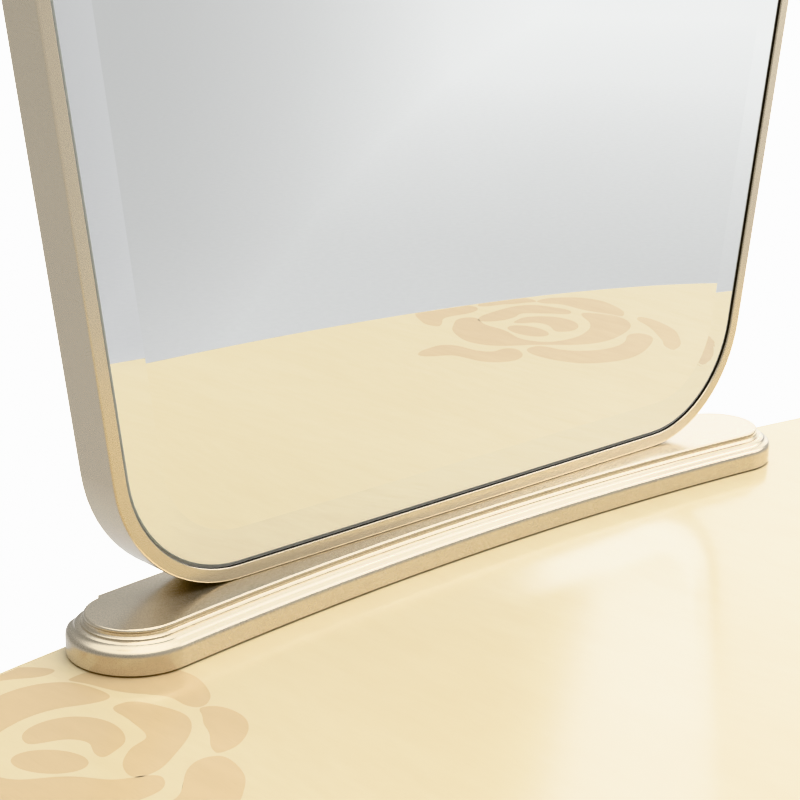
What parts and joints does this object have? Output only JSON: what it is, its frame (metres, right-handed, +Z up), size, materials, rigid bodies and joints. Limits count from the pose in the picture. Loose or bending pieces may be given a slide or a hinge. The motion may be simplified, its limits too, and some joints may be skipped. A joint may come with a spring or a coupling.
{
  "type": "vanity table with mirror",
  "caption": "Oval vanity table on turned legs, blond veneer with rose inlays, drawers in a bowed apron and a fixed mirror that widens upwards on a moulded base.",
  "frame": {"origin": "on the floor under the middle of the table top", "axes": "+X to the sitter's right, +Y to the back, +Z up"},
  "size_m": [1.6104, 0.5562, 1.546],
  "materials": {
    "blond_veneer": "high-gloss clear lacquer over blond figured veneer",
    "petal_veneer": "high-gloss clear lacquer over tan veneer",
    "champagne_lacquer": "satin metallic champagne lacquer on wood",
    "champagne_metal": "satin champagne metal",
    "zinc_steel": "zinc-plated steel",
    "mirror_plate": "silvered mirror plate with a polished bevel",
    "black_foam": "matt black foam tape",
    "felt": "dark brown felt",
    "backing_board": "dark brown hardboard",
    "birch": "clear-lacquered birch",
    "nylon": "natural nylon"
  },
  "bodies": {
    "table": {"apron_back": "blond_veneer", "apron_dowels": "birch", "apron_end_left": "blond_veneer", "apron_end_right": "blond_veneer", "backing_panel_screws": "zinc_steel", "case_bottom_panel": "birch", "divider_left": "blond_veneer", "divider_right": "blond_veneer", "drawer_stop_blocks": "birch", "front_bottom_rail": "champagne_lacquer", "front_top_rail": "champagne_lacquer", "guide_rail_centre": "birch", "guide_rail_left": "birch", "guide_rail_right": "birch", "leg_front_left": "champagne_lacquer", "leg_front_right": "champagne_lacquer", "leg_glides": "nylon", "leg_rear_left": "champagne_lacquer", "leg_rear_right": "champagne_lacquer", "mirror_backing_panel": "backing_board", "mirror_base": "champagne_lacquer", "mirror_base_felt": "felt", "mirror_cushion_tape": "black_foam", "mirror_fixing_bolts": "zinc_steel", "mirror_fixing_washers": "zinc_steel", "mirror_frame": "champagne_lacquer", "mirror_glass": "mirror_plate", "rose_inlay_left": "petal_veneer", "rose_inlay_right": "petal_veneer", "table_top": "blond_veneer", "top_batten_centre": "birch", "top_batten_left": "birch", "top_batten_right": "birch", "top_edge_moulding": "champagne_lacquer", "top_fixing_screws": "zinc_steel"},
    "drawer_centre": {"drawer_centre_back": "birch", "drawer_centre_bottom": "birch", "drawer_centre_front": "blond_veneer", "drawer_centre_guide_channel": "birch", "drawer_centre_knob_screws": "zinc_steel", "drawer_centre_knobs": "champagne_metal", "drawer_centre_side_left": "birch", "drawer_centre_side_right": "birch"},
    "drawer_left": {"drawer_left_back": "birch", "drawer_left_bottom": "birch", "drawer_left_front": "blond_veneer", "drawer_left_guide_channel": "birch", "drawer_left_knob": "champagne_metal", "drawer_left_knob_screw": "zinc_steel", "drawer_left_side_left": "birch", "drawer_left_side_right": "birch"},
    "drawer_right": {"drawer_right_back": "birch", "drawer_right_bottom": "birch", "drawer_right_front": "blond_veneer", "drawer_right_guide_channel": "birch", "drawer_right_knob": "champagne_metal", "drawer_right_knob_screw": "zinc_steel", "drawer_right_side_left": "birch", "drawer_right_side_right": "birch"}
  },
  "joints": [
    {"name": "drawer_centre_slide", "type": "slide", "parent": "table", "child": "drawer_centre", "axis": [0, -1, 0], "range_m": [0, 0.26]},
    {"name": "drawer_left_slide", "type": "slide", "parent": "table", "child": "drawer_left", "axis": [0, -1, 0], "range_m": [0, 0.18]},
    {"name": "drawer_right_slide", "type": "slide", "parent": "table", "child": "drawer_right", "axis": [0, -1, 0], "range_m": [0, 0.18]}
  ]
}
